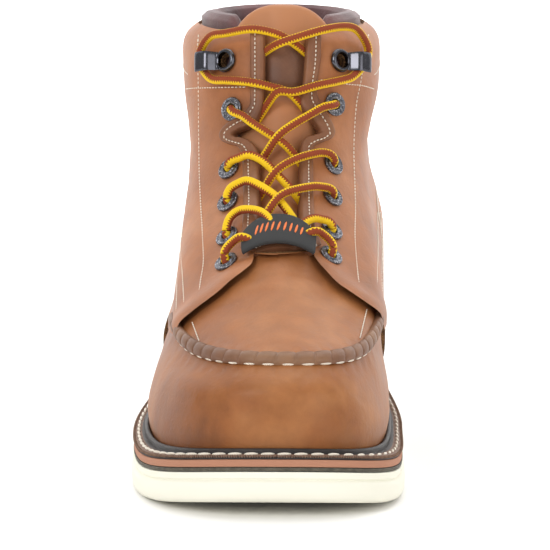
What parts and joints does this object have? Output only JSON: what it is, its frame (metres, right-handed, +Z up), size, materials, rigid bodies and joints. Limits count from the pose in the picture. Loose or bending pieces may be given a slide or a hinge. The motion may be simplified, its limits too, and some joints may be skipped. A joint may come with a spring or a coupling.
{
  "type": "work boot",
  "caption": "Right moc-toe work boot with a laced leather shaft, hooks and eyelets, a padded tongue and collar, a stitched welt and a cream wedge sole.",
  "frame": {"origin": "floor level under the middle of the boot's length and width", "axes": "+Y towards the heel, -Y towards the toe, +X towards the medial side, +Z up along the shaft"},
  "size_m": [0.1197, 0.308, 0.2034],
  "materials": {
    "cream_rubber": "matt cream moulded wedge rubber",
    "dark_rubber": "thin dark rubber layer",
    "rust_midsole": "rust brown midsole with a cut edge",
    "dark_welt": "dark edge-dyed welt with cream stitches",
    "tan_leather": "oiled pull-up leather, satin",
    "lining": "mauve brown padded lining",
    "tongue_leather": "soft padded leather",
    "gunmetal": "speckled gunmetal",
    "dark_metal": "glossy dark metal",
    "black_rubber": "satin black moulded rubber",
    "lace_cord": "two-colour braided cord"
  },
  "bodies": {
    "root": {"binding_lateral": "tan_leather", "binding_medial": "tan_leather", "collar_lining": "lining", "counter": "tan_leather", "eyelet_lateral_1": "gunmetal", "eyelet_lateral_2": "gunmetal", "eyelet_lateral_3": "gunmetal", "eyelet_lateral_4": "gunmetal", "eyelet_lateral_5": "gunmetal", "eyelet_medial_1": "gunmetal", "eyelet_medial_2": "gunmetal", "eyelet_medial_3": "gunmetal", "eyelet_medial_4": "gunmetal", "eyelet_medial_5": "gunmetal", "hook_lateral": "dark_metal", "hook_medial": "dark_metal", "insole": "lining", "keeper": "black_rubber", "lace_bar_lateral": "lace_cord", "lace_bar_medial": "lace_cord", "lace_first": "lace_cord", "lace_fourth": "lace_cord", "lace_keeper_lateral": "lace_cord", "lace_keeper_medial": "lace_cord", "lace_second": "lace_cord", "lace_third": "lace_cord", "lace_top": "lace_cord", "midsole": "rust_midsole", "moc_seam": "tan_leather", "outsole": "cream_rubber", "quarter_lateral": "tan_leather", "quarter_medial": "tan_leather", "sole_layer": "dark_rubber", "tongue": "tongue_leather", "upper": "tan_leather", "welt": "dark_welt"}
  },
  "joints": []
}
